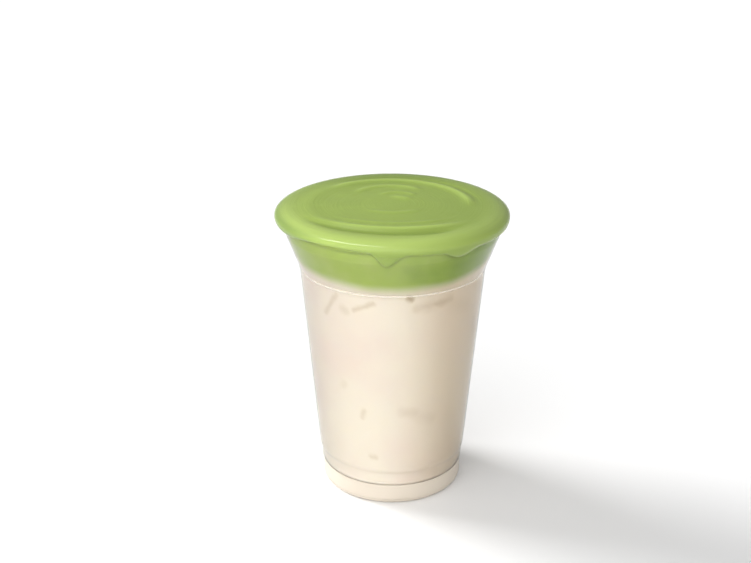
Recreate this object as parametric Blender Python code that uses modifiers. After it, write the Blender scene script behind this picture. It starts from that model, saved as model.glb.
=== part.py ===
"""Iced matcha latte in a clear flared cup, crowned with a swirled cap of matcha cream.

Three pieces, in metres, with +Z up and the centre of the foot ring at the origin:
the cup, the milk drink in it, and the cream that floats on the milk, fills the flare,
folds over the rim and hangs down the front in two drips. The front of the drink is -Y.
"""

import math

import bpy

MM = 0.001

# Cup: radii and heights in millimetres, from the foot up
FOOT_CONTACT_RADIUS = 30.0
FOOT_CONTACT_WIDTH = 1.8
FOOT_ROUNDING = 2.4
BASE_RADIUS = FOOT_CONTACT_RADIUS + FOOT_ROUNDING
GROOVE_HEIGHT = 9.6
GROOVE_DEPTH = 0.6
GROOVE_HALF_WIDTH = 0.6
BAND_BOTTOM_RADIUS = 32.9
BAND_TOP_RADIUS = 33.2
BAND_TOP_HEIGHT = 16.0
STEP_HEIGHT = 17.6
STEP_RADIUS = 33.9
SHOULDER_RADIUS = 42.0
SHOULDER_HEIGHT = 106.8
SHOULDER_RING_PROUD = 0.3
SHOULDER_RING_HALF_HEIGHT = 0.7
FLARE_MIDDLE_RADIUS = 45.2
FLARE_MIDDLE_HEIGHT = 115.3
FLARE_TOP_RADIUS = 48.3
FLARE_TOP_HEIGHT = 123.5
NECK_RADIUS = 48.8
NECK_HEIGHT = 126.25
RIM_RADIUS = 48.6
RIM_HEIGHT = 128.65
RIM_BEAD_RADIUS = 0.75
WALL = 0.8
RECESS_DEPTH = 3.4
RECESS_ROUNDING = 0.8
FLOOR_TOP = RECESS_DEPTH + WALL
FLOOR_CORNER_RADIUS = 28.6
FLOOR_CORNER_RISE = 2.2

# Levels and clearances of what fills the cup
GAP = 0.3
RIM_GAP = 0.55
MILK_LEVEL = 112.0
CREAM_BOTTOM = MILK_LEVEL + GAP

# Cream cap: its flat top, its widest line and the rounding above that line
CAP_TOP = 134.4
CAP_RADIUS = 52.5
CAP_WIDEST_HEIGHT = 130.5
CAP_ROUNDING_WIDTH = 8.6
CAP_SHIFT_X = -0.4
LIP_CONTACT_HEIGHT = 127.3

# The lip sits higher and tighter on the front left than elsewhere
LIFT_CENTRE = -20.0
LIFT_HALF_WIDTH = 40.0
LIFT_OF_CONTACT = 2.2
LIFT_OF_WIDEST = 0.6
LIFT_OF_RADIUS = -0.7

# Drips: tip's bearing from the front toward +X in degrees, its length, its left and right widths
DRIPS = (
    (-3.5, 6.3, 7.0, 10.5),
    (34.5, 3.1, 11.0, 12.0),
)
LIP_BLUNTNESS = 0.75
DRIP_TAPER = 1.5

# Spoon strokes in the top: centre x, centre y, first and last bearing from +X in degrees,
# first and last radius, height (a furrow's is negative) and half width
STROKES = (
    (-2.7, 0.2, 0.0, 305.0, 36.7, 30.6, 0.50, 2.6),
    (-2.7, 0.2, -5.0, 150.0, 40.2, 37.4, -0.38, 1.6),
    (-2.7, 0.2, 185.0, 325.0, 37.2, 35.4, -0.48, 2.3),
    (-1.0, 1.5, 205.0, 330.0, 27.0, 25.0, 0.22, 1.6),
    (0.0, 9.5, 10.0, 165.0, 19.0, 17.0, 0.34, 2.2),
    (1.0, 10.0, -30.0, 170.0, 11.5, 9.5, 0.30, 1.8),
    (0.0, 9.0, 225.0, 315.0, 19.0, 17.5, 0.20, 1.6),
    (4.0, 22.0, 245.0, 300.0, 10.5, 8.5, 0.40, 2.4),
)
STROKE_FADE = 26.0
RELIEF_LIMIT_RADIUS = 47.0
RELIEF_FADE_WIDTH = 6.0

# Bearing of the back, and how near the axis a point counts as on it, in metres
BACK = 180.0
AXIS_TOLERANCE = 0.0001

# Fineness of the turned shapes
SHARP_ANGLE = 60.0
MERGE_DISTANCE = 0.00005
CUP_SEGMENTS = 60
CREAM_SEGMENTS = 96
TOP_RING_SPACING = 2.75
ROUNDING_STEPS = 6
LIP_STEPS = 5
FOLD_STEPS = 5

# Where the cream's fold over the rim starts, in degrees above the rim bead's widest line,
# and the shares of the way up to it at which the lip's back hugs the wall
FOLD_START = -15.0
FOLD_CLEARANCE = 22.0
HUGGING_SHARES = (0.34, 0.67)

CLEAR_PLASTIC = {"color": (0.93, 0.94, 0.92, 1.0), "roughness": 0.08, "alpha": 0.35}
MILK = {"color": (0.84, 0.74, 0.60, 1.0), "roughness": 0.30, "alpha": 1.0}
MATCHA_CREAM = {"color": (0.36, 0.47, 0.11, 1.0), "roughness": 0.32, "alpha": 1.0}


def clear_scene():
    """Remove every object of the scene."""
    for obj in list(bpy.data.objects):
        bpy.data.objects.remove(obj, do_unlink=True)


def make_material(name, finish):
    """Return a Principled material with the finish's colour, roughness and alpha."""
    material = bpy.data.materials.new(name)
    material.use_nodes = True
    shader = material.node_tree.nodes["Principled BSDF"]
    shader.inputs["Base Color"].default_value = finish["color"]
    shader.inputs["Roughness"].default_value = finish["roughness"]
    shader.inputs["Metallic"].default_value = 0.0
    shader.inputs["Alpha"].default_value = finish["alpha"]
    return material


def interpolate(points, height):
    """Return the radius at a height on a line through (radius, height) points that rise."""
    if height <= points[0][1]:
        return points[0][0]
    for (low_radius, low), (high_radius, high) in zip(points, points[1:]):
        if height <= high:
            share = (height - low) / (high - low)
            return low_radius + (high_radius - low_radius) * share
    return points[-1][0]


def arc(centre_radius, centre_height, radius, start, end, steps):
    """Return (radius, height) points on an arc, its angles in degrees from the outward direction."""
    points = []
    for step in range(steps + 1):
        angle = math.radians(start + (end - start) * step / steps)
        points.append((centre_radius + radius * math.cos(angle), centre_height + radius * math.sin(angle)))
    return points


def outer_wall():
    """Return the cup's outer side as (radius, height) points, from the base band up to the rim."""
    groove_radius = BASE_RADIUS - GROOVE_DEPTH
    return [
        (BASE_RADIUS, FOOT_ROUNDING),
        (BASE_RADIUS, GROOVE_HEIGHT - GROOVE_HALF_WIDTH),
        (groove_radius, GROOVE_HEIGHT),
        (BAND_BOTTOM_RADIUS, GROOVE_HEIGHT + GROOVE_HALF_WIDTH),
        (BAND_TOP_RADIUS, BAND_TOP_HEIGHT),
        (STEP_RADIUS, STEP_HEIGHT),
        (SHOULDER_RADIUS, SHOULDER_HEIGHT - SHOULDER_RING_HALF_HEIGHT),
        (SHOULDER_RADIUS + SHOULDER_RING_PROUD, SHOULDER_HEIGHT),
        (SHOULDER_RADIUS + SHOULDER_RING_PROUD, SHOULDER_HEIGHT + SHOULDER_RING_HALF_HEIGHT),
        (FLARE_MIDDLE_RADIUS, FLARE_MIDDLE_HEIGHT),
        (FLARE_TOP_RADIUS, FLARE_TOP_HEIGHT),
        (NECK_RADIUS, NECK_HEIGHT),
        (NECK_RADIUS, RIM_HEIGHT - RIM_BEAD_RADIUS),
    ]


def inner_wall():
    """Return the cup's inner side as (radius, height) points, from the floor's corner up to the rim."""
    return [
        (FLOOR_CORNER_RADIUS, FLOOR_TOP),
        (BASE_RADIUS - WALL - GROOVE_DEPTH, FLOOR_TOP + FLOOR_CORNER_RISE),
        (BASE_RADIUS - WALL - GROOVE_DEPTH / 2, GROOVE_HEIGHT),
        (BAND_TOP_RADIUS - WALL, BAND_TOP_HEIGHT + WALL / 2),
        (STEP_RADIUS - WALL, STEP_HEIGHT + WALL),
        (SHOULDER_RADIUS - WALL, SHOULDER_HEIGHT),
        (FLARE_MIDDLE_RADIUS - WALL, FLARE_MIDDLE_HEIGHT),
        (FLARE_TOP_RADIUS - WALL, FLARE_TOP_HEIGHT),
        (NECK_RADIUS - WALL, NECK_HEIGHT + WALL),
    ]


def cup_profile():
    """Return the closed section of the cup, from the floor's middle round to the recess's middle."""
    rim = arc(RIM_RADIUS, RIM_HEIGHT, RIM_BEAD_RADIUS, 180.0, -60.0, 6)
    foot = arc(FOOT_CONTACT_RADIUS, FOOT_ROUNDING, FOOT_ROUNDING, 0.0, -90.0, 4)
    contact_inner = FOOT_CONTACT_RADIUS - FOOT_CONTACT_WIDTH
    recess = [
        (contact_inner, 0.0),
        (contact_inner - RECESS_ROUNDING, RECESS_DEPTH - RECESS_ROUNDING),
        (contact_inner - 2 * RECESS_ROUNDING, RECESS_DEPTH),
        (0.0, RECESS_DEPTH),
    ]
    down_outside = list(reversed(outer_wall()))[:-1]
    return [(0.0, FLOOR_TOP)] + inner_wall() + rim + down_outside + foot + recess


def milk_profile():
    """Return the milk's section, from the middle of its surface to the middle of its bottom."""
    wall = [(radius - GAP, height) for radius, height in inner_wall() if height < MILK_LEVEL]
    wall[0] = (wall[0][0], FLOOR_TOP + GAP)
    wall.append((interpolate(inner_wall(), MILK_LEVEL) - GAP, MILK_LEVEL))
    return [(0.0, MILK_LEVEL)] + list(reversed(wall)) + [(0.0, FLOOR_TOP + GAP)]


def bearing_from_front(x, y):
    """Return the bearing of a point in degrees, zero at the front and positive toward +X."""
    return math.degrees(math.atan2(x, -y))


def lift(bearing):
    """Return how far the lip is drawn up at a bearing, from 0 to 1."""
    return math.exp(-(((bearing - LIFT_CENTRE) / LIFT_HALF_WIDTH) ** 2))


def drip_length(bearing):
    """Return how far the lip hangs down in drips at a bearing, in millimetres."""
    length = 0.0
    for tip, reach, left_width, right_width in DRIPS:
        offset = bearing - tip
        width = left_width if offset < 0.0 else right_width
        if abs(offset) < width:
            length += reach * math.cos(math.pi / 2 * offset / width) ** 2
    return length


def rim_clearance(height):
    """Return the radius just clear of the cup's outside at a height near the rim."""
    beside = interpolate(outer_wall(), height) + GAP
    if height >= RIM_HEIGHT - RIM_BEAD_RADIUS:
        rise = max(0.0, height - RIM_HEIGHT)
        reach = math.sqrt(max(0.0, (RIM_BEAD_RADIUS + RIM_GAP) ** 2 - rise ** 2))
        beside = RIM_RADIUS + reach
    return beside


def smooth_step(value):
    """Return a smooth rise from 0 to 1 as the value goes from 0 to 1."""
    value = min(1.0, max(0.0, value))
    return value * value * (3.0 - 2.0 * value)


def stroke_height(x, y, stroke):
    """Return what one spoon stroke adds to the cream's height at a point."""
    centre_x, centre_y, first, last, first_radius, last_radius, height, half_width = stroke
    bearing = math.degrees(math.atan2(y - centre_y, x - centre_x))
    middle = (first + last) / 2
    bearing = middle + (bearing - middle + 180.0) % 360.0 - 180.0
    share = (bearing - first) / (last - first)
    ends = smooth_step((bearing - first) / STROKE_FADE) * smooth_step((last - bearing) / STROKE_FADE)
    radius = first_radius + (last_radius - first_radius) * min(1.0, max(0.0, share))
    offset = math.hypot(x - centre_x, y - centre_y) - radius
    return height * ends * math.exp(-((offset / half_width) ** 2))


def relief(x, y):
    """Return the height of the swirl's ridges and furrows at a point of the cream's top."""
    edge = smooth_step((RELIEF_LIMIT_RADIUS - math.hypot(x, y)) / RELIEF_FADE_WIDTH)
    return edge * sum(stroke_height(x, y, stroke) for stroke in STROKES)


def cream_section(bearing):
    """Return the cream's (radius, height) points at a bearing, from the top's middle to the bottom's."""
    raised = lift(bearing)
    sideways = math.sin(math.radians(bearing))
    widest_radius = CAP_RADIUS + LIFT_OF_RADIUS * raised + CAP_SHIFT_X * sideways
    widest_height = CAP_WIDEST_HEIGHT + LIFT_OF_WIDEST * raised
    flat_radius = CAP_RADIUS - CAP_ROUNDING_WIDTH
    rings = int(flat_radius / TOP_RING_SPACING)
    section = [(flat_radius * ring / rings, CAP_TOP) for ring in range(rings + 1)]
    for step in range(1, ROUNDING_STEPS + 1):
        angle = math.pi / 2 * (1.0 - step / ROUNDING_STEPS)
        radius = flat_radius + (widest_radius - flat_radius) * math.cos(angle)
        height = widest_height + (CAP_TOP - widest_height) * math.sin(angle)
        section.append((radius, height))
    contact = LIP_CONTACT_HEIGHT + LIFT_OF_CONTACT * raised
    overhang = widest_radius - rim_clearance(contact)
    drip = drip_length(bearing)
    for step in range(1, LIP_STEPS + 1):
        share = step / LIP_STEPS
        angle = math.pi / 2 * share
        height = widest_height - (widest_height - contact) * math.sin(angle) - drip * share ** DRIP_TAPER
        bulge = overhang * max(0.0, math.cos(angle)) ** LIP_BLUNTNESS
        section.append((rim_clearance(min(contact, height)) + bulge, height))
    bottom_of_lip = contact - drip
    fold = RIM_BEAD_RADIUS + RIM_GAP
    contact_angle = math.degrees(math.asin(max(-1.0, (bottom_of_lip - RIM_HEIGHT) / fold)))
    fold_start = max(FOLD_START, contact_angle + FOLD_CLEARANCE)
    over_rim = arc(RIM_RADIUS, RIM_HEIGHT, fold, fold_start, 180.0, FOLD_STEPS)
    for share in HUGGING_SHARES:
        height = bottom_of_lip + (over_rim[0][1] - bottom_of_lip) * share
        section.append((rim_clearance(height), height))
    section.extend(over_rim)
    inside = [
        (radius - GAP, height) for radius, height in reversed(inner_wall())
        if CREAM_BOTTOM < height < RIM_HEIGHT - RIM_BEAD_RADIUS
    ]
    section.extend(inside)
    section.append((interpolate(inner_wall(), CREAM_BOTTOM) - GAP, CREAM_BOTTOM))
    section.append((0.0, CREAM_BOTTOM))
    return section


def turned(name, profile, segments, collection, material):
    """Return an object whose profile a Screw modifier turns about the Z axis.

    The profile's points carry their number in the attribute "station".
    """
    mesh = bpy.data.meshes.new(name)
    verts = [(radius * MM, 0.0, height * MM) for radius, height in profile]
    mesh.from_pydata(verts, [(i, i + 1) for i in range(len(verts) - 1)], [])
    stations = mesh.attributes.new("station", "INT", "POINT")
    stations.data.foreach_set("value", list(range(len(verts))))
    obj = bpy.data.objects.new(name, mesh)
    collection.objects.link(obj)
    obj.data.materials.append(material)
    screw = obj.modifiers.new("Turn", "SCREW")
    screw.axis = "Z"
    screw.angle = 2.0 * math.pi
    screw.steps = segments
    screw.render_steps = segments
    screw.use_merge_vertices = True
    screw.merge_threshold = MERGE_DISTANCE
    screw.use_smooth_shade = True
    return obj


def shade_round(mesh, angle):
    """Shade a mesh smooth, apart from edges sharper than an angle in degrees."""
    mesh.shade_smooth()
    mesh.set_sharp_from_angle(angle=math.radians(angle))


def make_cup(collection):
    """Make the clear cup: foot, groove, band, tapered wall, shoulder ring, flare and rolled rim."""
    material = make_material("clear_plastic", CLEAR_PLASTIC)
    return turned("cup", cup_profile(), CUP_SEGMENTS, collection, material)


def make_milk(collection):
    """Make the milk drink, a body that fills the cup up to the cream."""
    material = make_material("milk", MILK)
    return turned("milk", milk_profile(), CUP_SEGMENTS, collection, material)


def make_cream(collection):
    """Make the matcha cream: a turned body whose section changes with the bearing, and its swirl."""
    material = make_material("matcha_cream", MATCHA_CREAM)
    plain = turned("cream_form", cream_section(BACK), CREAM_SEGMENTS, collection, material)
    bpy.context.view_layer.update()
    evaluated = plain.evaluated_get(bpy.context.evaluated_depsgraph_get())
    mesh = bpy.data.meshes.new_from_object(evaluated)
    stations = [item.value for item in mesh.attributes["station"].data]
    sections = {}
    for vertex, station in zip(mesh.vertices, stations):
        x, y = vertex.co.xy
        bearing = BACK
        if math.hypot(x, y) > AXIS_TOLERANCE:
            bearing = round(bearing_from_front(x, y), 3)
        if bearing not in sections:
            sections[bearing] = cream_section(bearing)
        radius, height = sections[bearing][station]
        angle = math.radians(bearing)
        x, y = radius * math.sin(angle), -radius * math.cos(angle)
        if height > CAP_WIDEST_HEIGHT + LIFT_OF_WIDEST:
            height += relief(x, y)
        vertex.co = (x * MM, y * MM, height * MM)
    bpy.data.objects.remove(plain, do_unlink=True)
    mesh.name = "matcha_cream"
    mesh.attributes.remove(mesh.attributes["station"])
    shade_round(mesh, SHARP_ANGLE)
    cream = bpy.data.objects.new("matcha_cream", mesh)
    collection.objects.link(cream)
    return cream


def main():
    """Build the drink in a collection of its own."""
    clear_scene()
    collection = bpy.data.collections.new("matcha_latte")
    bpy.context.scene.collection.children.link(collection)
    make_cup(collection)
    make_milk(collection)
    make_cream(collection)


main()
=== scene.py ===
"""Looks of an iced matcha latte: a clear flared cup of milk under a swirled cap of matcha cream.

Meshes are in metres in the frame's own axes: +Z up, the front of the drink toward -Y. Classes hold
sizes in millimetres and bearings in degrees from the front toward +X, unless they say otherwise.
"""

from __future__ import annotations

import logging
import math
from dataclasses import dataclass, field
from enum import Enum
from typing import Any, Sequence, Union

import bpy
import numpy as np
from mathutils import Matrix


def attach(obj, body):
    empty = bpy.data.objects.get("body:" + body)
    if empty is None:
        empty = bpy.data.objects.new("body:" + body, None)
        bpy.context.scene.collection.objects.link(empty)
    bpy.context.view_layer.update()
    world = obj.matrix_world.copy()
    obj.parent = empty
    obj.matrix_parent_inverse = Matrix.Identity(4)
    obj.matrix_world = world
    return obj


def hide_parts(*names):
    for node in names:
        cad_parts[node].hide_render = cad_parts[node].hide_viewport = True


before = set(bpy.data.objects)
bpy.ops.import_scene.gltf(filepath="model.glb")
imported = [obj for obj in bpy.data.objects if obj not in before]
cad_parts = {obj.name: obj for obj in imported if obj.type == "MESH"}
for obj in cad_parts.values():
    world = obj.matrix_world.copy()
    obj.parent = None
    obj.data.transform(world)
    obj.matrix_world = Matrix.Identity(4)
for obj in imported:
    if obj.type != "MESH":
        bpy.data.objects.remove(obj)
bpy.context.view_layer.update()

LOG = logging.getLogger("matcha_latte")
MM = 0.001
BODY = "root"

BACK = 180.0
POLE_RADIUS = 0.8
WALL_REACH = 0.35
LONGEST_STEP = 4.0
LEG_SHARE = 0.45
SMOOTH_BELOW = math.radians(50.0)
SWIRL_CENTRE = (-2.7, 0.2)

Station = tuple[float, float]
Span = tuple[float, float]
Colour = tuple[float, float, float, float]
Number = Union["Signal", float]
Socket = bpy.types.NodeSocket
Object = bpy.types.Object


class Layer(Enum):
    """The drink's two layers, each with the name of its finish."""

    MILK = "milk"
    CREAM = "matcha_cream"


def smooth_step(value: np.ndarray) -> np.ndarray:
    """Rise smoothly from 0 to 1 as the value goes from 0 to 1."""
    value = np.clip(value, 0.0, 1.0)
    return value * value * (3.0 - 2.0 * value)


def arc(centre: Station, radius: float, start: float, end: float, steps: int) -> list[Station]:
    """Work out points along an arc in the section plane.

    Args:
        centre: Radius and height of the arc's centre, in millimetres.
        radius: The arc's own radius.
        start: First angle in degrees, zero pointing outward and 90 up.
        end: Last angle in degrees.
        steps: Number of chords.

    Returns:
        The points as (radius, height) stations.
    """
    angles = np.radians(np.linspace(start, end, steps + 1))
    return [(centre[0] + radius * math.cos(a), centre[1] + radius * math.sin(a)) for a in angles]


def rounded(points: Sequence[Station], radius: float, steps: int) -> list[Station]:
    """Round the inner corners of an open line of stations.

    Args:
        points: The line's corners.
        radius: Largest distance from a corner at which its rounding starts.
        steps: Number of chords in each rounding.

    Returns:
        The rounded line, its two ends unchanged.
    """
    line = [points[0]]
    for before, corner, after in zip(points, points[1:], points[2:]):
        here = np.array(corner)
        legs = [np.array(before) - here, np.array(after) - here]
        lengths = [float(np.linalg.norm(leg)) for leg in legs]
        reach = min(radius, *(LEG_SHARE * length for length in lengths))
        first = here + legs[0] / lengths[0] * reach
        last = here + legs[1] / lengths[1] * reach
        for share in np.linspace(0.0, 1.0, steps + 1):
            point = (1 - share) ** 2 * first + 2 * share * (1 - share) * here + share**2 * last
            line.append((float(point[0]), float(point[1])))
    line.append(points[-1])
    return line


def filled(points: Sequence[Station], spacing: float) -> list[Station]:
    """Add stations so that none lie further apart than the spacing."""
    line = [points[0]]
    for start, end in zip(points, points[1:]):
        count = max(1, math.ceil(math.dist(start, end) / spacing))
        for step in range(1, count + 1):
            share = step / count
            radius, height = (first + (last - first) * share for first, last in zip(start, end))
            line.append((radius, height))
    return line


class Signal:
    """A number that varies over a surface, held in a node socket and extended by operators."""

    def __init__(self, graph: Graph, socket: Socket) -> None:
        """Wrap a socket of a graph."""
        self.graph = graph
        self.socket = socket

    def _math(self, operation: str, *values: Number) -> Signal:
        """Add a Math node on some values and return its result."""
        node = self.graph.node("ShaderNodeMath", {"operation": operation}, dict(enumerate(values)))
        return Signal(self.graph, node.outputs[0])

    def __add__(self, other: Number) -> Signal:
        """Add a number."""
        return self._math("ADD", self, other)

    def __sub__(self, other: Number) -> Signal:
        """Subtract a number."""
        return self._math("SUBTRACT", self, other)

    def __rsub__(self, other: Number) -> Signal:
        """Subtract from a number."""
        return self._math("SUBTRACT", other, self)

    def __mul__(self, other: Number) -> Signal:
        """Multiply by a number."""
        return self._math("MULTIPLY", self, other)

    def __pow__(self, other: Number) -> Signal:
        """Raise to a power."""
        return self._math("POWER", self, other)

    def __abs__(self) -> Signal:
        """Drop the sign."""
        return self._math("ABSOLUTE", self)

    def maximum(self, other: Number) -> Signal:
        """Return the larger of this and another number."""
        return self._math("MAXIMUM", self, other)

    def root(self) -> Signal:
        """Return the square root."""
        return self._math("SQRT", self)

    def angle_over(self, other: Number) -> Signal:
        """Return the angle in radians whose tangent is this over another number."""
        return self._math("ARCTAN2", self, other)

    def rise(self, low: float, high: float) -> Signal:
        """Rise smoothly from 0 at one value to 1 at another."""
        node = self.graph.node(
            "ShaderNodeMapRange",
            {"interpolation_type": "SMOOTHSTEP"},
            {"Value": self, "From Min": low, "From Max": high, "To Min": 0.0, "To Max": 1.0},
        )
        return Signal(self.graph, node.outputs[0])

    def near(self, place: float, half_width: float) -> Signal:
        """Peak smoothly at a value, falling to 0 at a distance of the half width."""
        return 1.0 - abs(self - place).rise(0.0, half_width)


class Graph:
    """The node tree of one material, or of the room's light."""

    def __init__(self, name: str, world: bool = False) -> None:
        """Start an empty tree.

        Args:
            name: The material's or the world's name.
            world: Whether the tree is a world's, where places are directions.
        """
        self.owner = bpy.data.worlds.new(name) if world else bpy.data.materials.new(name)
        self.owner.use_nodes = True
        self.tree = self.owner.node_tree
        self.tree.nodes.clear()
        self.output = self.node("ShaderNodeOutputWorld" if world else "ShaderNodeOutputMaterial")
        self.place = self.node("ShaderNodeTexCoord").outputs["Generated" if world else "Object"]

    def node(
        self,
        kind: str,
        settings: dict[str, Any] | None = None,
        inputs: dict[Union[str, int], Any] | None = None,
    ) -> bpy.types.Node:
        """Add a node.

        Args:
            kind: The node's type.
            settings: Properties to set first.
            inputs: Values or links for its sockets, by name or number.

        Returns:
            The new node.
        """
        node = self.tree.nodes.new(kind)
        for key, value in (settings or {}).items():
            setattr(node, key, value)
        for key, value in (inputs or {}).items():
            self.feed(node.inputs[key], value)
        return node

    def feed(self, socket: Socket, value: Any) -> None:
        """Link a signal or socket to a socket, or set the socket's value."""
        if isinstance(value, Signal):
            value = value.socket
        if isinstance(value, Socket):
            self.tree.links.new(value, socket)
        else:
            socket.default_value = value

    def axes(self) -> tuple[Signal, Signal, Signal]:
        """Return the surface point's x, y and z in millimetres."""
        parts = self.node("ShaderNodeSeparateXYZ", inputs={0: self.place})
        return tuple(Signal(self, parts.outputs[i]) * (1.0 / MM) for i in range(3))

    def value(self, name: str) -> Signal:
        """Return a value that the mesh's points carry."""
        return Signal(self, self.node("ShaderNodeAttribute", {"attribute_name": name}).outputs["Fac"])

    def noise(self, scale: float, detail: float = 2.0, vector: Any = None) -> Signal:
        """Return fractal noise of about 0 to 1, its scale in waves per metre."""
        inputs = {"Vector": vector or self.place, "Scale": scale, "Detail": detail}
        return Signal(self, self.node("ShaderNodeTexNoise", inputs=inputs).outputs["Fac"])

    def combine(self, x: Number, y: Number, z: Number) -> Socket:
        """Join three numbers to a vector."""
        return self.node("ShaderNodeCombineXYZ", inputs={0: x, 1: y, 2: z}).outputs[0]

    def mix(self, share: Number, first: Any, second: Any) -> Socket:
        """Mix two colours."""
        node = self.node("ShaderNodeMix", {"data_type": "RGBA"}, {0: share, 6: first, 7: second})
        return node.outputs[2]

    def blend(self, share: Number, first: Any, second: Any) -> Socket:
        """Blend two shaders."""
        return self.node("ShaderNodeMixShader", inputs={0: share, 1: first, 2: second}).outputs[0]

    def bump(self, height: Number, distance: float, strength: float) -> Socket:
        """Return a normal tilted by a height whose unit is the distance."""
        inputs = {"Height": height, "Distance": distance, "Strength": strength}
        return self.node("ShaderNodeBump", inputs=inputs).outputs[0]

    def finish(self, shader: Socket) -> Any:
        """Send a shader to the output and return the material or world."""
        self.tree.links.new(shader, self.output.inputs["Surface"])
        return self.owner


def linear(red: int, green: int, blue: int) -> Colour:
    """Turn a screen colour of 0 to 255 into Blender's linear colour."""
    values = []
    for level in (red, green, blue):
        share = level / 255.0
        values.append(share / 12.92 if share <= 0.04045 else ((share + 0.055) / 1.055) ** 2.4)
    return (*values, 1.0)


@dataclass(frozen=True)
class Tint:
    """A colour that covers another as a measure rises from low to high, up to its share."""

    colour: Colour
    low: float
    high: float
    share: float = 1.0

    def over(self, graph: Graph, base: Any, measure: Signal, extent: Number = 1.0) -> Socket:
        """Lay the colour over a base colour.

        Args:
            graph: The material's graph.
            base: The colour under it.
            measure: What rises from low to high.
            extent: Where the tint shows at all, from 0 to 1.

        Returns:
            The mixed colour.
        """
        return graph.mix(measure.rise(self.low, self.high) * self.share * extent, base, self.colour)


def pick(obj: Object) -> None:
    """Make one object active and select it alone."""
    bpy.ops.object.select_all(action="DESELECT")
    obj.select_set(True)
    bpy.context.view_layer.objects.active = obj


def begin_edit(obj: Object) -> None:
    """Enter one object's edit mode with all of its mesh selected."""
    pick(obj)
    bpy.ops.object.mode_set(mode="EDIT")
    bpy.ops.mesh.select_all(action="SELECT")


def end_edit() -> None:
    """Turn all faces of the edited mesh outward, leave edit mode and shade it smoothly."""
    bpy.ops.mesh.select_all(action="SELECT")
    bpy.ops.mesh.normals_make_consistent(inside=False)
    bpy.ops.object.mode_set(mode="OBJECT")
    bpy.ops.object.shade_smooth_by_angle(angle=SMOOTH_BELOW)


def settle(obj: Object) -> None:
    """Put an object's place into its mesh, so that it sits at the origin."""
    pick(obj)
    bpy.ops.object.transform_apply(location=True, rotation=True, scale=True)


@dataclass
class Turning:
    """A closed shape drawn out ring by ring about the Z axis, each end closed by a fan of triangles."""

    name: str
    stations: list[Station]
    segments: int = 192

    def build(self) -> Object:
        """Draw out the rings and close both ends.

        Returns:
            The new object, smoothly shaded.
        """
        radius, height = self.stations[0]
        bpy.ops.object.select_all(action="DESELECT")
        place = (0.0, 0.0, height * MM)
        bpy.ops.mesh.primitive_circle_add(
            vertices=self.segments, radius=radius * MM, fill_type="NOTHING", location=place
        )
        obj = bpy.context.active_object
        obj.name = self.name
        obj.data.name = self.name
        settle(obj)
        begin_edit(obj)
        for next_radius, next_height in self.stations[1:]:
            step = (0.0, 0.0, (next_height - height) * MM)
            bpy.ops.mesh.extrude_edges_move(TRANSFORM_OT_translate={"value": step})
            scale = next_radius / radius
            bpy.ops.transform.resize(value=(scale, scale, 1.0), center_override=(0.0, 0.0, 0.0))
            radius, height = next_radius, next_height
        bpy.ops.mesh.select_all(action="SELECT")
        bpy.ops.mesh.fill_holes(sides=0)
        bpy.ops.mesh.select_all(action="DESELECT")
        bpy.ops.mesh.select_face_by_sides(number=self.segments, type="EQUAL")
        bpy.ops.mesh.poke()
        end_edit()
        return obj


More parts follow.
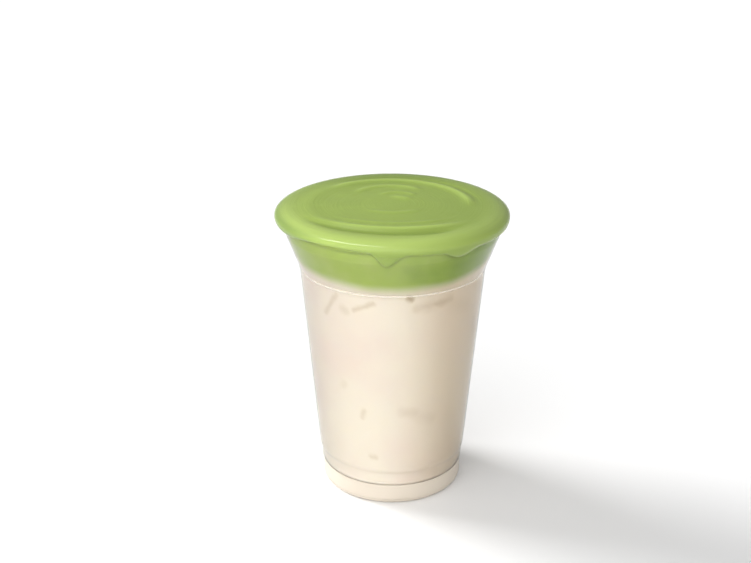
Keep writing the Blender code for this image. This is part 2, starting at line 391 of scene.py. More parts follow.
@dataclass(frozen=True)
class ClearPlastic:
    """Thin clear cup plastic, see-through and glossy, which takes on the milk's colour where it is thick,
    with a painted highlight along the shoulder's ring.

    The ripple's depth is in metres, and scales are in waves per metre.
    """

    index: float = 1.45
    roughness: float = 0.08
    roughness_spread: float = 0.05
    ripple_scale: float = 55.0
    ripple_stretch: tuple[float, float, float] = (1.0, 1.0, 0.12)
    ripple_depth: float = 0.00035
    ripple_strength: float = 0.35
    grain_scale: float = 900.0
    grain_share: float = 0.04
    gloss_tint: Colour = (0.97, 0.98, 1.0, 1.0)
    glow: Colour = linear(214, 203, 187)
    glow_roughness: float = 0.35
    # Painted highlight: a pale band along the shoulder's ring, partly the ridge's own frosted look.
    ring_painted_highlight: Colour = linear(246, 239, 226)
    ring_highlight_cover: float = 0.40
    ring_highlight_half_width: float = 0.62
    foot_cover: float = 0.97
    foot_height: float = 9.75
    foot_fade: float = 0.3
    edge_tint: Colour = linear(178, 172, 150)
    edge_cover: float = 0.28
    edge_sharpness: float = 5.0

    def material(self, ring_height: float) -> bpy.types.Material:
        """Make the plastic.

        Args:
            ring_height: Height of the shoulder's fine ring, where the painted highlight lies.

        Returns:
            The material.
        """
        graph = Graph("clear_plastic")
        _, _, z = graph.axes()
        mapping = {"Vector": graph.place, "Scale": self.ripple_stretch}
        stretched = graph.node("ShaderNodeMapping", inputs=mapping).outputs[0]
        ripple = graph.noise(self.ripple_scale, 2.0, stretched)
        grain = graph.noise(self.grain_scale, 3.0) * self.grain_share
        gloss = graph.node("ShaderNodeBsdfGlossy", inputs={
            "Color": self.gloss_tint,
            "Roughness": ripple * self.roughness_spread + self.roughness,
            "Normal": graph.bump(ripple + grain, self.ripple_depth, self.ripple_strength),
        }).outputs[0]
        clear = graph.node("ShaderNodeBsdfTransparent").outputs[0]
        fresnel = graph.node("ShaderNodeFresnel", inputs={"IOR": self.index}).outputs[0]
        skin = graph.blend(fresnel, clear, gloss)
        weight = graph.node("ShaderNodeLayerWeight", inputs={"Blend": 0.5})
        facing = Signal(graph, weight.outputs["Facing"])
        edge_colour = graph.node("ShaderNodeBsdfDiffuse", inputs={"Color": self.edge_tint}).outputs[0]
        skin = graph.blend(facing ** self.edge_sharpness * self.edge_cover, skin, edge_colour)
        # Painted highlight along the shoulder's ring; below it the milky cover of the foot.
        ring = z.near(ring_height, self.ring_highlight_half_width) * self.ring_highlight_cover
        foot = (1.0 - z.rise(self.foot_height - self.foot_fade, self.foot_height)) * self.foot_cover
        colour = graph.mix(z.rise(self.foot_height, ring_height / 2), self.glow, self.ring_painted_highlight)
        milky_cover_and_highlight = graph.node("ShaderNodeBsdfPrincipled", inputs={
            "Base Color": colour, "Roughness": self.glow_roughness, "IOR": self.index
        }).outputs[0]
        return graph.finish(graph.blend(ring.maximum(foot), skin, milky_cover_and_highlight))


@dataclass(frozen=True)
class Shade:
    """A soft mark on the drink's side, where an ice cube lies close behind the milk.

    It runs level for its length and climbs by its rise; its depth is a share.
    """

    bearing: float
    height: float
    length: float
    rise: float
    half_width: float
    depth: float


ICE_SHADES = (
    Shade(-41.0, 99.0, 7.5, 10.5, 1.0, 0.27),
    Shade(-30.5, 98.0, 1.2, -0.4, 1.6, 0.27),
    Shade(-17.5, 101.0, 9.0, 3.9, 0.9, 0.34),
    Shade(10.0, 105.6, 0.6, -0.5, 1.3, 0.80),
    Shade(24.5, 101.4, 13.5, 1.6, 1.5, 0.36),
    Shade(22.5, 101.2, 3.0, 0.4, 2.4, 0.24),
    Shade(35.5, 102.4, 2.0, 0.4, 1.9, 0.30),
    Shade(46.0, 97.5, 8.0, -4.0, 2.6, 0.12),
    Shade(-20.6, 46.9, 0.5, 2.8, 1.2, 0.28),
    Shade(12.5, 48.6, 6.5, -1.4, 2.0, 0.18),
    Shade(25.0, 44.5, 6.5, -2.0, 2.4, 0.12),
    Shade(-14.0, 24.8, 2.6, -0.2, 1.2, 0.27),
    Shade(-35.5, 60.0, 1.0, 1.0, 1.6, 0.12),
    Shade(118.0, 97.0, 8.0, 6.0, 1.1, 0.30),
    Shade(162.0, 61.0, 9.0, -3.0, 1.8, 0.20),
    Shade(-104.0, 84.0, 8.0, 5.0, 1.3, 0.22),
    Shade(-150.0, 101.0, 13.0, -1.5, 1.9, 0.30),
)


@dataclass(frozen=True)
class LayerBlend:
    """How the green of the cream fades into the milk just above the cup's shoulder."""

    green_from: float = 113.5
    milk_below: float = 107.0
    tint_below: float = 105.0
    tint_share: float = 0.16
    side_lift: float = 3.2
    wall_radius: float = 43.5
    wobble: float = 4.0
    wobble_scale: float = 34.0

    def green(self, graph: Graph) -> Signal:
        """Return how green the drink is at a point, from 0 for milk to 1 for cream."""
        x, _, z = graph.axes()
        aside = x * (1.0 / self.wall_radius)
        wobble = (graph.noise(self.wobble_scale, 3.0) - 0.5) * self.wobble
        level = z - aside * aside * self.side_lift + wobble
        main = level.rise(self.milk_below, self.green_from)
        tail = level.rise(self.tint_below, self.green_from) * self.tint_share
        return main.maximum(tail)


@dataclass(frozen=True)
class Drink:
    """The finish of milk and matcha cream, which run into each other at the layer's edge.

    A tint's name says where it lies on its layer. The spans of clouds are shares, scales are in waves
    per metre, and the scatter's depth is in metres.
    """

    milk: Colour = linear(244, 236, 220)
    milk_warm: Tint = Tint(linear(240, 226, 214), 0.35, 0.70, 0.8)
    # Painted shade: the milk turns a deeper tan toward the right.
    milk_right_painted_shade: Tint = Tint(linear(238, 222, 196), -4.0, 34.0, 0.8)
    milk_cloud_scale: float = 26.0
    ice_shade: Colour = linear(178, 155, 112)
    cream: Colour = linear(138, 158, 78)
    cream_fresh: Tint = Tint(linear(143, 164, 77), 0.32, 0.68)
    cream_bright: Tint = Tint(linear(150, 172, 81), 0.45, 0.85, 0.5)
    # Painted shade: duller green toward the right and the back of the cap.
    cream_right_painted_shade: Tint = Tint(linear(129, 149, 69), -20.0, 42.0, 0.8)
    cream_painted_shade_behind: Span = (4.0, 48.0)
    # Painted light: a paler green on the rim's front, less of it toward the right.
    cream_rim_painted_light: Tint = Tint(linear(166, 188, 97), 39.0, 49.0)
    cream_rim_painted_light_heights: Span = (129.0, 132.5)
    cream_rim_painted_light_front: Span = (-15.0, 30.0)
    cream_rim_painted_light_right: Span = (0.0, 45.0)
    cream_rim_painted_light_right_loss: float = 0.6
    # Painted shade: darker green on the left of the lip, below the flat top.
    cream_left_painted_shade: Tint = Tint(linear(128, 150, 76), 16.0, 44.0)
    cream_left_painted_shade_slant: float = 0.2
    cream_left_painted_shade_heights: Span = (132.4, 134.0)
    # Painted shade: darker green toward the back.
    cream_back_painted_shade: Tint = Tint(linear(112, 132, 62), 24.0, 52.0, 0.8)
    # Painted light on the swirl's crests and painted shade in its furrows.
    cream_crest_painted_light: Tint = Tint(linear(165, 188, 98), 0.05, 1.0, 0.75)
    cream_furrow_painted_shade: Tint = Tint(linear(118, 138, 60), 0.05, 0.9, 0.7)
    cream_broad_scale: float = 24.0
    cream_fine_scale: float = 110.0
    in_cup: Colour = linear(182, 202, 97)
    in_cup_pale: Tint = Tint(linear(196, 206, 128), 0.48, 0.75, 0.6)
    in_cup_deep: Tint = Tint(linear(143, 172, 52), -0.1, 0.9, 0.9)
    in_cup_cloud_scale: float = 60.0
    in_cup_cloud_share: float = 1.4
    lip_shade: Colour = linear(96, 112, 40)
    lip_shade_depth: float = 0.55
    top_wetness: float = 0.15
    blend: LayerBlend = field(default_factory=LayerBlend)
    wall_radius: float = 41.0
    mark_fray: float = 2.2
    mark_fray_scales: Span = (210.0, 260.0)
    mark_softness: float = 2.1
    mark_patch_scale: float = 150.0
    mark_patch_span: Span = (0.25, 0.65)
    mark_patch_share: float = 0.5
    index: float = 1.30
    roughness: float = 0.40
    roughness_spread: float = 0.10
    roughness_scale: float = 160.0
    coat_roughness: float = 0.13
    scatter: float = 0.12
    scatter_reach: tuple[float, float, float] = (1.0, 0.8, 0.45)
    scatter_depth: float = 0.0022

    def cream_colour(self, graph: Graph) -> Socket:
        """Return the cream's uneven green in clouds and behind the wall, with painted light on the rim's
        front and the swirl's crests, and painted shade on the lip's left, toward the right and back, in
        the furrows and under the lip.
        """
        x, y, z = graph.axes()
        radius = (x * x + y * y).root()
        colour = self.cream_fresh.over(graph, self.cream, graph.noise(self.cream_broad_scale))
        colour = self.cream_bright.over(graph, colour, graph.noise(self.cream_fine_scale, 3.0))
        # Painted shade toward the right and the back.
        right_shade = self.cream_right_painted_shade
        shaded = x.rise(right_shade.low, right_shade.high).maximum(y.rise(*self.cream_painted_shade_behind))
        colour = graph.mix(shaded * right_shade.share, colour, right_shade.colour)
        # Painted light on the rim's front, fading toward the right.
        front = z.rise(*self.cream_rim_painted_light_heights) * (y * -1.0).rise(*self.cream_rim_painted_light_front)
        loss = x.rise(*self.cream_rim_painted_light_right) * self.cream_rim_painted_light_right_loss
        colour = self.cream_rim_painted_light.over(graph, colour, radius, front * (1.0 - loss))
        # Painted shade on the left of the lip.
        left = x * -1.0 + y * self.cream_left_painted_shade_slant
        colour = self.cream_left_painted_shade.over(graph, colour, left, 1.0 - z.rise(*self.cream_left_painted_shade_heights))
        # Painted shade toward the back.
        colour = self.cream_back_painted_shade.over(graph, colour, y)
        relief = graph.value("relief")
        # Painted light on the crests and painted shade in the furrows, following the relief.
        colour = self.cream_crest_painted_light.over(graph, colour, relief)
        colour = self.cream_furrow_painted_shade.over(graph, colour, relief * -1.0)
        colour = graph.mix(graph.value("in_cup"), colour, self.in_cup_colour(graph))
        return graph.mix(graph.value("under_lip") * self.lip_shade_depth, colour, self.lip_shade)

    def in_cup_colour(self, graph: Graph) -> Socket:
        """Return the green behind the cup's wall: paler, with deeper green toward the right."""
        x, _, _ = graph.axes()
        clouds = graph.noise(self.in_cup_cloud_scale, 3.0)
        colour = self.in_cup_pale.over(graph, self.in_cup, clouds)
        deep = x * (1.0 / self.wall_radius) + (clouds - 0.5) * self.in_cup_cloud_share
        return self.in_cup_deep.over(graph, colour, deep)

    def wetness(self, graph: Graph) -> Signal:
        """Return how wet the cream is at a point: the folded lip is wetter than the top."""
        x, y, _ = graph.axes()
        lip = (x * x + y * y).root().rise(self.cream_rim_painted_light.low, self.cream_rim_painted_light.high)
        return lip * (1.0 - self.top_wetness) + self.top_wetness

    def milk_colour(self, graph: Graph) -> Socket:
        """Return the milk's colour, with warm clouds and a painted shade toward the right."""
        x, _, _ = graph.axes()
        colour = self.milk_warm.over(graph, self.milk, graph.noise(self.milk_cloud_scale, 3.0))
        # Painted shade toward the right.
        return self.milk_right_painted_shade.over(graph, colour, x)

    def shades(self, graph: Graph) -> Signal:
        """Return how deep the ice's shades are at a point, from 0 to 1."""
        x, y, z = graph.axes()
        frays = [(graph.noise(scale) - 0.5) * self.mark_fray for scale in self.mark_fray_scales]
        along = x.angle_over(y * -1.0) * self.wall_radius + frays[0]
        height = z + frays[1]
        total: Signal | None = None
        for shade in ICE_SHADES:
            run = math.hypot(shade.length, shade.rise)
            cosine, sine = shade.length / run, shade.rise / run
            side = along - math.radians(shade.bearing) * self.wall_radius
            up = height - shade.height
            lengthwise = (abs(side * cosine + up * sine) - run / 2).maximum(0.0)
            across = up * cosine - side * sine
            distance = (lengthwise * lengthwise + across * across).root()
            mark = (1.0 - distance.rise(0.0, shade.half_width * self.mark_softness)) * shade.depth
            total = mark if total is None else total.maximum(mark)
        patches = graph.noise(self.mark_patch_scale).rise(*self.mark_patch_span)
        return total * (patches * self.mark_patch_share + (1.0 - self.mark_patch_share))

    def material(self, layer: Layer, wet: float, normal_of: Any = None) -> bpy.types.Material:
        """Make the finish of one of the two layers.

        Args:
            layer: Which layer it is; the ice's shades show on the milk alone.
            wet: Weight of the glossy wet coat.
            normal_of: A function that makes the surface's normal in a graph, or nothing.

        Returns:
            The material.
        """
        graph = Graph(layer.value)
        pale = self.milk_colour(graph)
        coat: Number = wet
        if layer is Layer.MILK:
            pale = graph.mix(self.shades(graph), pale, self.ice_shade)
            green = self.in_cup_colour(graph)
        else:
            green = self.cream_colour(graph)
            coat = self.wetness(graph) * wet
        inputs = {
            "Base Color": graph.mix(self.blend.green(graph), pale, green),
            "Roughness": graph.noise(self.roughness_scale) * self.roughness_spread + self.roughness,
            "Coat Weight": coat,
            "Coat Roughness": self.coat_roughness,
            "IOR": self.index,
            "Subsurface Weight": self.scatter,
            "Subsurface Radius": self.scatter_reach,
            "Subsurface Scale": self.scatter_depth,
        }
        if normal_of is not None:
            inputs["Normal"] = normal_of(graph)
        shader = graph.node("ShaderNodeBsdfPrincipled", {"subsurface_method": "RANDOM_WALK"}, inputs)
        return graph.finish(shader.outputs[0])


@dataclass
class CupShell:
    """The clear cup: foot ring, groove, base band, tapered wall, shoulder, flare and rolled rim."""

    foot_radius: float = 30.0
    foot_inner_radius: float = 28.2
    foot_rounding: float = 2.4
    recess_depth: float = 3.4
    recess_rounding: float = 0.8
    groove_height: float = 9.6
    groove_depth: float = 0.3
    groove_half_width: float = 0.45
    band_bottom: Station = (32.9, 10.2)
    band_top: Station = (33.2, 16.0)
    step: Station = (33.9, 17.6)
    shoulder: Station = (42.0, 106.8)
    shoulder_proud: float = 0.3
    shoulder_half_height: float = 0.7
    flare_middle: Station = (45.2, 115.3)
    flare_top: Station = (48.3, 123.5)
    neck: Station = (48.8, 126.25)
    rim: Station = (48.6, 128.65)
    bead_radius: float = 0.75
    wall: float = 0.8
    floor_corner_radius: float = 28.6
    floor_corner_rise: float = 2.2

    def outer(self) -> list[Station]:
        """Return the outer side's corners from the base band up to just under the rim."""
        base = self.foot_radius + self.foot_rounding
        shoulder_radius, shoulder_height = self.shoulder
        ring = shoulder_radius + self.shoulder_proud
        return [
            (base, self.foot_rounding),
            (base, self.groove_height - self.groove_half_width),
            (base - self.groove_depth, self.groove_height),
            self.band_bottom,
            self.band_top,
            self.step,
            (shoulder_radius, shoulder_height - self.shoulder_half_height),
            (ring, shoulder_height),
            (ring, shoulder_height + self.shoulder_half_height),
            self.flare_middle,
            self.flare_top,
            self.neck,
            (self.neck[0], self.rim[1] - self.bead_radius),
        ]

    def inner(self) -> list[Station]:
        """Return the inner side's corners from the floor's corner up to just under the rim."""
        base = self.foot_radius + self.foot_rounding - self.wall
        floor = self.recess_depth + self.wall
        return [
            (self.floor_corner_radius, floor),
            (base - self.groove_depth, floor + self.floor_corner_rise),
            (base - self.groove_depth / 2, self.groove_height),
            (self.band_bottom[0] - self.wall, self.band_bottom[1] + self.wall),
            (self.band_top[0] - self.wall, self.band_top[1] + self.wall / 2),
            (self.step[0] - self.wall, self.step[1] + self.wall),
            (self.shoulder[0] - self.wall, self.shoulder[1]),
            (self.flare_middle[0] - self.wall, self.flare_middle[1]),
            (self.flare_top[0] - self.wall, self.flare_top[1]),
            (self.neck[0] - self.wall, self.neck[1] + self.wall),
        ]

    def inner_radius(self, height: float) -> float:
        """Return the radius of the wall's inner side at a height."""
        radii, heights = zip(*self.inner())
        return float(np.interp(height, heights, radii))

    def outer_radius(self, height: np.ndarray | float) -> np.ndarray:
        """Return the radius of the wall's outer side at one or more heights."""
        radii, heights = zip(*self.outer())
        return np.interp(height, heights, radii)

    def section(self) -> list[Station]:
        """Return the whole closed section, from the recess's middle round to the inner floor's."""
        rounding = self.recess_rounding
        recess = rounded([
            (POLE_RADIUS, self.recess_depth),
            (self.foot_inner_radius - 2 * rounding, self.recess_depth),
            (self.foot_inner_radius - rounding, self.recess_depth - rounding),
            (self.foot_inner_radius, 0.0),
            (self.foot_radius, 0.0),
        ], radius=0.5, steps=3)
        foot_centre = (self.foot_radius, self.foot_rounding)
        foot = arc(foot_centre, self.foot_rounding, start=-90.0, end=0.0, steps=8)
        outside = rounded([foot[-2]] + self.outer(), radius=0.7, steps=4)[1:]
        bead = arc(self.rim, self.bead_radius, start=-55.0, end=180.0, steps=12)
        inside = rounded(list(reversed(self.inner())), radius=2.0, steps=3)
        floor = [(POLE_RADIUS, self.recess_depth + self.wall)]
        return filled(recess[:-1] + foot + outside + bead + inside + floor, LONGEST_STEP)

    def build(self) -> None:
        """Make the cup and dress it."""
        cup = Turning("clear_cup", self.section()).build()
        ring_height = self.shoulder[1] + self.shoulder_half_height / 2
        cup.data.materials.append(ClearPlastic().material(ring_height))
        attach(cup, BODY)
        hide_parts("cup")
        LOG.info("%s: %d faces", cup.name, len(cup.data.polygons))


@dataclass
class MilkDrink:
    """The milk in the cup, which reaches just into the wall so that no gap shows."""

    cup: CupShell
    level: float = 112.0

    def section(self) -> list[Station]:
        """Return the milk's section, from the middle of its bottom to the middle of its surface."""
        wall = [
            (radius + WALL_REACH, height)
            for radius, height in self.cup.inner() if height < self.level
        ]
        wall.append((self.cup.inner_radius(self.level) + WALL_REACH, self.level))
        wall[0] = (wall[0][0], wall[0][1] - WALL_REACH)
        line = rounded(wall, radius=2.0, steps=4)
        return filled([(POLE_RADIUS, wall[0][1])] + line + [(POLE_RADIUS, self.level)], LONGEST_STEP)

    def build(self) -> None:
        """Make the milk and dress it."""
        milk = Turning("milk_drink", self.section()).build()
        milk.data.materials.append(Drink().material(Layer.MILK, wet=0.0))
        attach(milk, BODY)
        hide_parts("milk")
        LOG.info("%s: %d faces", milk.name, len(milk.data.polygons))


@dataclass(frozen=True)
class Drip:
    """A run of cream down the cup: the tip's bearing, its length, and its width to either side."""

    bearing: float
    length: float
    left_width: float
    right_width: float

    def reach(self, bearing: np.ndarray) -> np.ndarray:
        """Return how far the drip hangs at some bearings, in millimetres."""
        offset = bearing - self.bearing
        share = np.where(offset < 0.0, offset / self.left_width, offset / self.right_width)
        return self.length * np.cos(math.pi / 2 * np.clip(share, -1.0, 1.0)) ** 2


@dataclass(frozen=True)
class Stroke:
    """One stroke of the spoon in the cream's top, a ridge or (with a negative height) a furrow.

    Its bearings are in degrees from +X toward +Y.
    """

    centre: tuple[float, float]
    first: float
    last: float
    first_radius: float
    last_radius: float
    height: float
    half_width: float
    fade: float = 26.0

    def rise(self, x: np.ndarray, y: np.ndarray) -> np.ndarray:
        """Return what the stroke adds to the cream's height at some points."""
        bearing = np.degrees(np.arctan2(y - self.centre[1], x - self.centre[0]))
        middle = (self.first + self.last) / 2
        bearing = middle + (bearing - middle + 180.0) % 360.0 - 180.0
        share = np.clip((bearing - self.first) / (self.last - self.first), 0.0, 1.0)
        ends = smooth_step((bearing - self.first) / self.fade)
        ends = ends * smooth_step((self.last - bearing) / self.fade)
        radius = self.first_radius + (self.last_radius - self.first_radius) * share
        offset = np.hypot(x - self.centre[0], y - self.centre[1]) - radius
        return self.height * ends * np.exp(-((offset / self.half_width) ** 2))


STROKES = (
    Stroke(SWIRL_CENTRE, -8.0, 144.0, 37.4, 34.0, 0.80, 2.3, 22.0),
    Stroke(SWIRL_CENTRE, 0.0, 130.0, 41.2, 38.2, -0.35, 1.6),
    Stroke(SWIRL_CENTRE, 115.0, 240.0, 35.0, 36.5, 0.40, 4.2, 40.0),
    Stroke((3.0, 20.0), 219.0, 302.0, 57.2, 58.2, -0.85, 2.5, 20.0),
    Stroke((2.0, 20.0), 218.0, 314.0, 53.4, 52.8, 1.00, 2.3, 34.0),
    Stroke((2.0, 20.0), 228.0, 310.0, 45.4, 45.2, 0.40, 1.2),
    Stroke((-1.0, 9.5), 30.0, 165.0, 17.6, 17.2, 0.60, 2.0),
    Stroke((2.5, 9.3), 18.0, 160.0, 8.0, 8.8, 0.42, 1.5),
    Stroke((0.5, 9.0), 225.0, 315.0, 20.6, 20.0, 0.42, 1.6),
    Stroke((8.5, 24.0), 228.0, 276.0, 15.0, 15.6, 0.58, 2.2, 18.0),
)


@dataclass
class CreamCap:
    """The matcha cream: its swirled top, the lip that folds over the rim, and its drips.

    Scales are in waves per metre, except the streaks', and the marks' depth is in metres.
    """

    cup: CupShell
    top: float = 134.4
    radius: float = 52.5
    widest_height: float = 130.5
    rounding_width: float = 8.6
    shift_x: float = -0.4
    contact_height: float = 127.3
    lift_centre: float = -20.0
    lift_half_width: float = 40.0
    lift_of_contact: float = 2.2
    lift_of_widest: float = 0.6
    lift_of_radius: float = -0.7
    left_lift: float = 1.1
    left_lift_centre: float = -38.0
    left_lift_half_width: float = 16.0
    rim_gap: float = 0.12
    fold_inside: float = 0.3
    wall_gap: float = 0.02
    bottom: float = 112.0
    blunt: float = 0.55
    taper: float = 1.5
    relief_limit: float = 47.0
    relief_fade: float = 6.0
    segments: int = 288
    pole_radius: float = 0.6
    axis_radius: float = 0.3
    top_rings: int = 56
    round_rings: int = 14
    fold_rings: int = 9
    inside_rings: int = 34
    fold_start: float = -15.0
    fold_turn: float = 22.0
    wall_station: int = 91
    shade_reach: float = 0.9
    wet: float = 0.40
    streak_scales: tuple[float, float, float] = (0.9, 1.1, 0.05)
    pore_scale: float = 700.0
    pore_share: float = 0.05
    mark_depth: float = 0.00022
    mark_strength: float = 0.6
    drips: tuple[Drip, ...] = (Drip(-3.5, 6.3, 8.0, 12.0), Drip(34.5, 3.1, 11.0, 12.0))

    def clearance(self, height: np.ndarray) -> np.ndarray:
        """Return the radius just clear of the cup's outside at some heights."""
        beside = self.cup.outer_radius(height) + self.wall_gap
        fold = self.cup.bead_radius + self.rim_gap
        rise = np.clip(height - self.cup.rim[1], 0.0, fold)
        round_bead = self.cup.rim[0] + np.sqrt(fold**2 - rise**2)
        return np.where(height >= self.cup.rim[1] - self.cup.bead_radius, round_bead, beside)

    def raised(self, bearing: np.ndarray) -> np.ndarray:
        """Return how far the lip is lifted at some bearings, from 0 to 1."""
        return np.exp(-(((bearing - self.lift_centre) / self.lift_half_width) ** 2))

    def contact(self, bearing: np.ndarray) -> np.ndarray:
        """Return the height at which the lip meets the cup, drips apart."""
        left = np.exp(-(((bearing - self.left_lift_centre) / self.left_lift_half_width) ** 2))
        return self.contact_height + self.lift_of_contact * self.raised(bearing) + self.left_lift * left

    def sections(self, bearing: np.ndarray) -> np.ndarray:
        """Work out the cream's section at some bearings.

        Args:
            bearing: Bearings in degrees from the front toward +X.

        Returns:
            An array of stations by bearings by two, holding radius and height.
        """
        raised = self.raised(bearing)
        shift = self.shift_x * np.sin(np.radians(bearing))
        widest_radius = self.radius + self.lift_of_radius * raised + shift
        widest_height = self.widest_height + self.lift_of_widest * raised
        flat = self.radius - self.rounding_width
        ones = np.ones_like(bearing)
        rows: list[tuple[np.ndarray, np.ndarray]] = []
        for radius in np.linspace(self.pole_radius, flat, self.top_rings):
            rows.append((radius * ones, self.top * ones))
        for angle in np.radians(np.linspace(90.0, 0.0, self.round_rings + 1)[1:]):
            radius = flat + (widest_radius - flat) * math.cos(angle)
            rows.append((radius, widest_height + (self.top - widest_height) * math.sin(angle)))
        contact = self.contact(bearing)
        drip = sum(run.reach(bearing) for run in self.drips)
        overhang = widest_radius - self.clearance(contact)
        for share in np.linspace(0.0, 1.0, self.round_rings + 1)[1:]:
            angle = math.pi / 2 * share
            fall = (widest_height - contact) * math.sin(angle)
            height = widest_height - fall - drip * share**self.taper
            bulge = overhang * max(0.0, math.cos(angle)) ** self.blunt
            rows.append((self.clearance(np.minimum(contact, height)) + bulge, height))
        lowest = contact - drip
        fold = self.cup.bead_radius + self.rim_gap
        angle = np.degrees(np.arcsin(np.clip((lowest - self.cup.rim[1]) / fold, -1.0, 1.0)))
        start = np.maximum(self.fold_start, angle + self.fold_turn)
        start_height = self.cup.rim[1] + fold * np.sin(np.radians(start))
        for share in (0.2, 0.4, 0.6, 0.8):
            height = lowest + (start_height - lowest) * share
            rows.append((self.clearance(height), height))
        for share in np.linspace(0.0, 1.0, self.fold_rings):
            turn = np.radians(start + (180.0 - start) * share)
            across = np.where(turn > math.pi / 2, self.fold_inside, fold)
            rows.append((self.cup.rim[0] + across * np.cos(turn), self.cup.rim[1] + fold * np.sin(turn)))
        inside_top = self.cup.neck[1] + self.cup.wall
        for height in np.linspace(inside_top, self.bottom, self.inside_rings):
            radius = self.cup.inner_radius(height) + WALL_REACH
            rows.append((radius * ones, height * ones))
        return np.array([[radius, height] for radius, height in rows]).transpose(0, 2, 1)

    def relief(self, x: np.ndarray, y: np.ndarray) -> np.ndarray:
        """Return the height of the swirl's ridges and furrows at some points."""
        edge = smooth_step((self.relief_limit - np.hypot(x, y)) / self.relief_fade)
        return edge * sum(stroke.rise(x, y) for stroke in STROKES)

    def normal(self, graph: Graph) -> Socket:
        """Return the normal of the cream's fine spoon marks, which follow the swirl."""
        x, y, z = graph.axes()
        across, along = x - SWIRL_CENTRE[0], y - SWIRL_CENTRE[1]
        radius = (across * across + along * along).root()
        marks = zip((radius, along.angle_over(across), z), self.streak_scales)
        streaks = graph.noise(1.0, 3.0, graph.combine(*(place * scale for place, scale in marks)))
        pores = graph.noise(self.pore_scale) * self.pore_share
        return graph.bump(streaks + pores, self.mark_depth, self.mark_strength)

    def build(self) -> None:
        """Turn the cream's plain form, shape it round the rim, swirl its top and dress it."""
        back = self.sections(np.array([BACK]))[:, 0, :]
        cream = Turning("cream_cap", [tuple(map(float, row)) for row in back], self.segments).build()
        self._shape(cream, back)
        cream.data.materials.append(Drink().material(Layer.CREAM, self.wet, self.normal))
        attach(cream, BODY)
        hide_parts("matcha_cream")
        LOG.info("%s: %d faces", cream.name, len(cream.data.polygons))

    def _shape(self, cream: Object, back: np.ndarray) -> None:
        """Move each point from the plain form to its place in the section at its bearing."""
        count = len(cream.data.vertices)
        flat = np.empty(count * 3)
        cream.data.vertices.foreach_get("co", flat)
        points = flat.reshape(-1, 3) / MM
        radii = np.hypot(points[:, 0], points[:, 1])
        on_axis = radii < self.axis_radius
        bearing = np.degrees(np.arctan2(points[:, 0], -points[:, 1]))
        place = np.stack([radii, points[:, 2]], axis=1)
        distance = ((place[:, None, :] - back[None, :, :]) ** 2).sum(axis=2)
        station = distance.argmin(axis=1)
        sections = self.sections(bearing)
        radius, height = sections[station, np.arange(count)].T
        angle = np.radians(bearing)
        x, y = radius * np.sin(angle), -radius * np.cos(angle)
        x[on_axis], y[on_axis], height[on_axis] = 0.0, 0.0, points[on_axis, 2]
        on_top = height > self.widest_height + self.lift_of_widest
        relief = np.where(on_top, self.relief(x, y), 0.0)
        height = height + relief
        cream.data.vertices.foreach_set("co", (np.stack([x, y, height], axis=1) * MM).ravel())
        below_rim = height < self.cup.rim[1] + self.cup.bead_radius
        inside = (station >= self.wall_station) & below_rim & ~on_axis
        contact = self.contact(bearing) - sum(run.reach(bearing) for run in self.drips)
        under = inside * np.exp(-np.clip(contact - height, 0.0, None) / self.shade_reach)
        carried = {"in_cup": inside.astype(float), "under_lip": under, "relief": relief}
        for name, values in carried.items():
            layer = cream.data.attributes.new(name, "FLOAT", "POINT")
            layer.data.foreach_set("value", values)
        cream.data.update()


@dataclass(frozen=True)
class CubePlace:
    """Where an ice cube lies, its distance taken from the cup's axis, and how it is turned."""

    bearing: float
    distance: float
    height: float
    turn: tuple[float, float, float]


@dataclass
class IceCubes:
    """Ice cubes sunk in the milk, close behind its shades."""

    side: float = 21.0
    rounding: float = 3.0
    rounding_steps: int = 4
    clear: Colour = linear(225, 230, 228)
    cloudy: Colour = linear(250, 250, 248)
    cloud_scale: float = 140.0
    cloud_span: Span = (0.45, 0.75)
    body: float = 0.2
    cloud_body: float = 0.5
    roughness: float = 0.1
    index: float = 1.31
    places: tuple[CubePlace, ...] = (
        CubePlace(-32.0, 20.0, 94.0, (0.5, 0.3, 0.2)),
        CubePlace(62.0, 20.0, 92.0, (0.2, 0.6, 0.9)),
        CubePlace(176.0, 20.0, 93.0, (0.7, 0.2, 0.5)),
        CubePlace(-12.0, 17.0, 56.0, (0.4, 0.5, 1.0)),
        CubePlace(140.0, 16.0, 60.0, (0.1, 0.7, 0.3)),
        CubePlace(-170.0, 8.0, 27.0, (0.3, 0.2, 0.8)),
    )

    def material(self) -> bpy.types.Material:
        """Make the ice: clear with a cloudy heart."""
        graph = Graph("ice")
        cloud = graph.noise(self.cloud_scale, 4.0).rise(*self.cloud_span)
        clear = graph.node("ShaderNodeBsdfTransparent").outputs[0]
        colour = graph.mix(cloud, self.clear, self.cloudy)
        finish = {"Base Color": colour, "Roughness": self.roughness, "IOR": self.index}
        body = graph.node("ShaderNodeBsdfPrincipled", inputs=finish).outputs[0]
        return graph.finish(graph.blend(cloud * self.cloud_body + self.body, clear, body))

    def build(self) -> None:
        """Make each cube, its edges melted round."""
        material = self.material()
        for number, place in enumerate(self.places, start=1):
            angle = math.radians(place.bearing)
            across, along = place.distance * math.sin(angle), -place.distance * math.cos(angle)
            centre = (across * MM, along * MM, place.height * MM)
            bpy.ops.object.select_all(action="DESELECT")
            bpy.ops.mesh.primitive_cube_add(size=self.side * MM, location=centre, rotation=place.turn)
            cube = bpy.context.active_object
            cube.name = f"ice_{number}"
            cube.data.name = cube.name
            settle(cube)
            begin_edit(cube)
            bpy.ops.mesh.bevel(offset=self.rounding * MM, segments=self.rounding_steps, affect="EDGES")
            end_edit()
            cube.data.materials.append(material)
            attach(cube, BODY)
        LOG.info("ice: %d cubes", len(self.places))


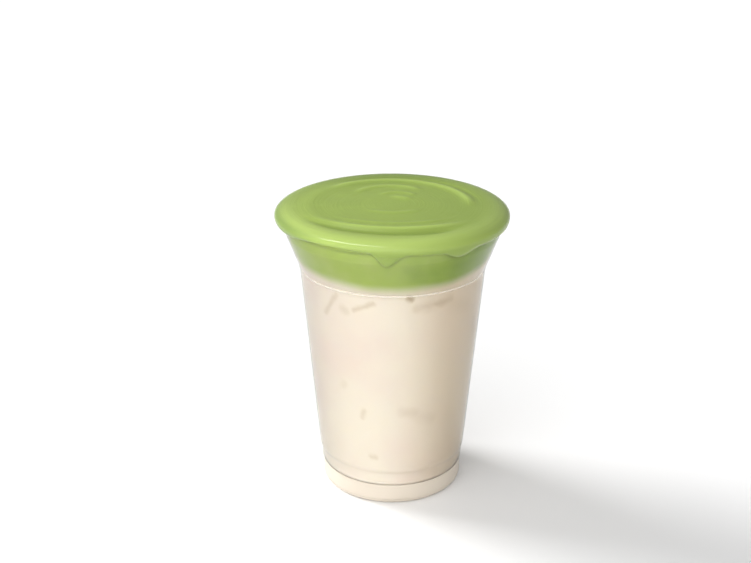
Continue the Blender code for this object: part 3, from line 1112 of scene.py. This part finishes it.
@dataclass
class Studio:
    """The pale floor, the soft lights and the camera at the photograph's viewing angle.

    Places and the sizes of floor and lights are in metres, angles in degrees, the sensor in
    millimetres, the key light's power in watts per square metre and the softbox's in watts.
    """

    focal_pixels: float = 1300.0
    picture_width: int = 751
    sensor: float = 36.0
    distance: float = 0.55035
    height: float = 0.31735
    pitch: float = 21.795
    turn: float = 0.8085
    floor_side: float = 12.0
    floor_roughness: float = 0.7
    floor_pale: Colour = linear(242, 242, 242)
    floor_dull: Colour = linear(240, 240, 240)
    floor_cloud_scale: float = 3.0
    floor_cloud_share: float = 0.2
    room_even: float = 0.40
    room_glow: float = 2.35
    room_bearing: float = -20.0
    room_elevation: float = 18.0
    room_sharpness: float = 3.0
    key_bearing: float = -117.0
    key_elevation: float = 33.0
    key_spread: float = 28.0
    key_power: float = 2.85
    softbox_bearing: float = -94.0
    softbox_elevation: float = 70.0
    softbox_distance: float = 0.36
    softbox_aim_height: float = 0.13
    softbox_length: float = 0.24
    softbox_width: float = 0.018
    softbox_roll: float = 53.0
    softbox_power: float = 0.55

    def floor(self) -> None:
        """Lay the pale floor."""
        bpy.ops.object.select_all(action="DESELECT")
        bpy.ops.mesh.primitive_plane_add(size=self.floor_side, location=(0.0, 0.0, 0.0))
        floor = bpy.context.active_object
        floor.name = "floor"
        graph = Graph("floor")
        clouds = graph.noise(self.floor_cloud_scale) * self.floor_cloud_share
        colour = graph.mix(clouds, self.floor_pale, self.floor_dull)
        finish = {"Base Color": colour, "Roughness": self.floor_roughness}
        shader = graph.node("ShaderNodeBsdfPrincipled", inputs=finish)
        floor.data.materials.append(graph.finish(shader.outputs[0]))

    @staticmethod
    def hang(data: bpy.types.ID) -> Object:
        """Put a light or a camera into the scene, under its data's name."""
        hung = bpy.data.objects.new(data.name, data)
        bpy.context.scene.collection.objects.link(hung)
        return hung

    def key(self) -> None:
        """Hang the far soft key light, which no glossy finish mirrors."""
        lamp = self.hang(bpy.data.lights.new("key", "SUN"))
        lamp.data.angle = math.radians(self.key_spread)
        lamp.data.energy = self.key_power
        lamp.location = (0.0, 0.0, 1.0)
        lamp.visible_glossy = False
        tilt = math.radians(90.0 - self.key_elevation)
        lamp.rotation_euler = (tilt, 0.0, math.radians(self.key_bearing))

    def softbox(self) -> None:
        """Hang a narrow light near the cap, which shows only as a gleam along the lip."""
        lamp = self.hang(bpy.data.lights.new("softbox", "AREA"))
        lamp.data.shape = "RECTANGLE"
        lamp.data.size, lamp.data.size_y = self.softbox_length, self.softbox_width
        lamp.data.energy = self.softbox_power
        lamp.visible_diffuse = False
        side, up = math.radians(self.softbox_bearing), math.radians(self.softbox_elevation)
        reach = self.softbox_distance * math.cos(up)
        height = self.softbox_aim_height + self.softbox_distance * math.sin(up)
        lamp.location = (reach * math.sin(side), -reach * math.cos(side), height)
        tilt = math.radians(90.0 - self.softbox_elevation)
        aim = Matrix.Rotation(side, 3, "Z") @ Matrix.Rotation(tilt, 3, "X")
        lamp.rotation_euler = (aim @ Matrix.Rotation(math.radians(self.softbox_roll), 3, "Z")).to_euler()

    def room(self) -> None:
        """Fill the room with white light that grows softly toward one side, seen as plain white."""
        graph = Graph("studio", world=True)
        side, up = math.radians(self.room_bearing), math.radians(self.room_elevation)
        aim = (math.sin(side) * math.cos(up), -math.cos(side) * math.cos(up), math.sin(up))
        facing = Signal(graph, graph.node(
            "ShaderNodeVectorMath", {"operation": "DOT_PRODUCT"}, {0: graph.place, 1: aim}
        ).outputs["Value"])
        strength = facing.maximum(0.0) ** self.room_sharpness * self.room_glow + self.room_even
        white = (1.0, 1.0, 1.0, 1.0)
        lit = graph.node("ShaderNodeBackground", inputs={"Color": white, "Strength": strength}).outputs[0]
        seen = graph.node("ShaderNodeBackground", inputs={"Color": white, "Strength": 1.0}).outputs[0]
        is_seen = graph.node("ShaderNodeLightPath").outputs["Is Camera Ray"]
        bpy.context.scene.world = graph.finish(graph.blend(is_seen, lit, seen))

    def camera(self) -> None:
        """Set up the camera."""
        camera = self.hang(bpy.data.cameras.new("camera"))
        camera.data.sensor_width = self.sensor
        camera.data.lens = self.focal_pixels / self.picture_width * self.sensor
        camera.location = (0.0, -self.distance, self.height)
        camera.rotation_euler = (math.radians(90.0 - self.pitch), 0.0, math.radians(self.turn))
        bpy.context.scene.camera = camera

    def build(self) -> None:
        """Set up the whole studio."""
        bpy.context.scene.view_settings.view_transform = "Standard"
        self.camera()
        self.floor()
        self.room()
        self.key()
        self.softbox()
        LOG.info("studio: camera, floor and lights")


def main() -> None:
    """Build the drink and its studio."""
    logging.basicConfig(level=logging.INFO, format="%(name)s %(message)s")
    Studio().build()
    cup = CupShell()
    cup.build()
    MilkDrink(cup).build()
    CreamCap(cup).build()
    IceCubes().build()
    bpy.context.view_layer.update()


if __name__ == "__main__":
    main()
